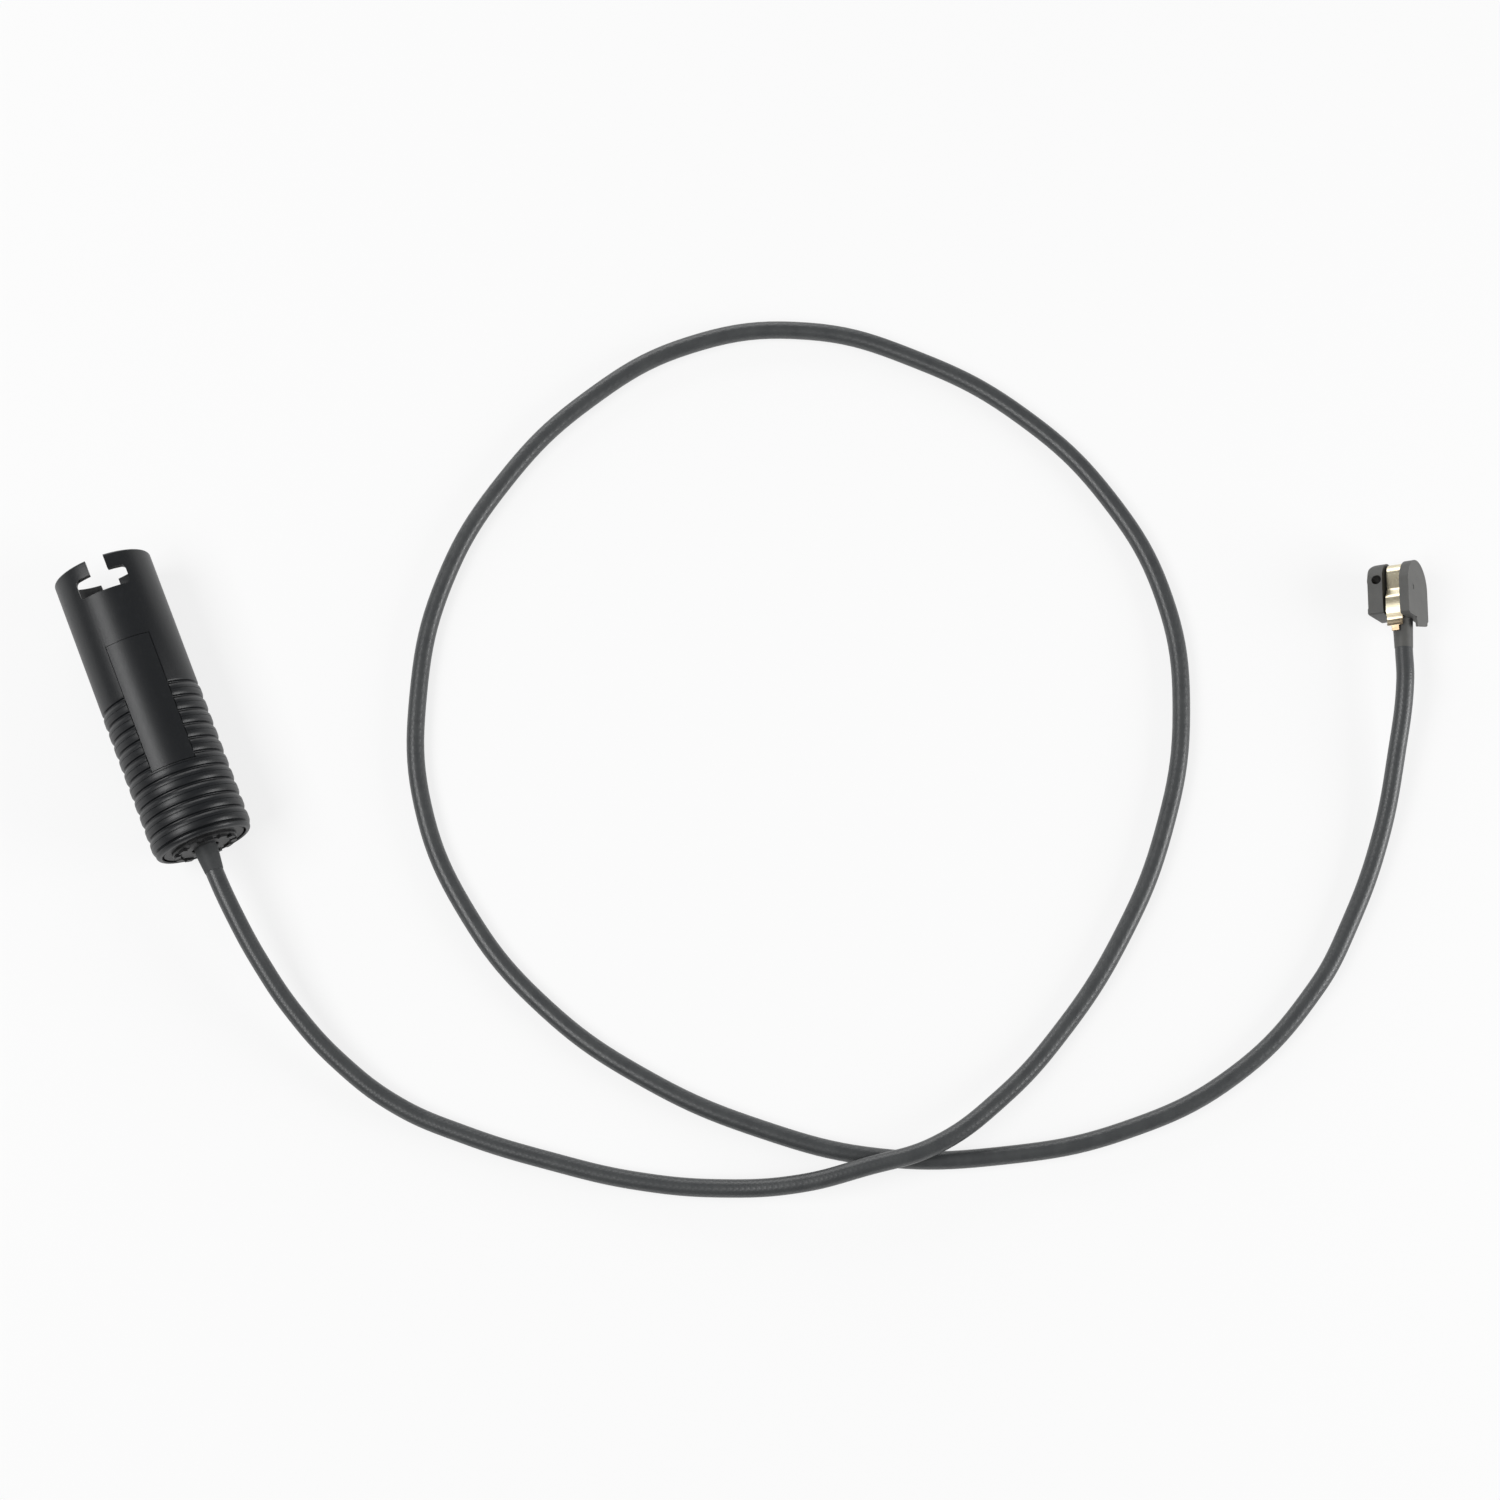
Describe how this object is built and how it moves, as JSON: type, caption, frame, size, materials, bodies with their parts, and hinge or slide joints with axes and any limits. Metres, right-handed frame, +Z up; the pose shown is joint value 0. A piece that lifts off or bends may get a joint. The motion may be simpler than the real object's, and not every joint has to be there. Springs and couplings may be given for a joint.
{
  "type": "brake pad wear sensor",
  "caption": "Brake pad wear sensor: a moulded head with a spring clip, a long free cable and a round ribbed connector.",
  "frame": {"origin": "middle of the footprint of the connector and the head together, on the surface that the sensor lies on", "axes": "+X from the connector towards the head, +Y along the connector's axis out of its mouth, +Z up"},
  "size_m": [0.2647, 0.1912, 0.0208],
  "materials": {
    "connector_black": "moulded, semi-matte near-black",
    "carrier_black": "moulded, matte black",
    "seal_rubber": "matte rubber",
    "contact_metal": "tin-plated brass, satin",
    "core_insulation": "smooth wire insulation",
    "cable_jacket": "dark grey jacket with a fine braid imprint",
    "head_plastic": "dark grey glass-filled moulding",
    "clip_metal": "pale brass spring strip, bright",
    "loop_metal": "bare copper conductor"
  },
  "bodies": {
    "root": {"connector_housing": "connector_black", "rear_retainer": "carrier_black", "cable_grommet": "seal_rubber", "contact_carrier": "carrier_black", "carrier_seal": "seal_rubber", "contact_a": "contact_metal", "contact_b": "contact_metal", "core_wire_a": "core_insulation", "core_wire_b": "core_insulation", "cable": "cable_jacket", "head_moulding": "head_plastic", "retaining_clip": "clip_metal", "sensing_loop": "loop_metal"}
  },
  "joints": []
}
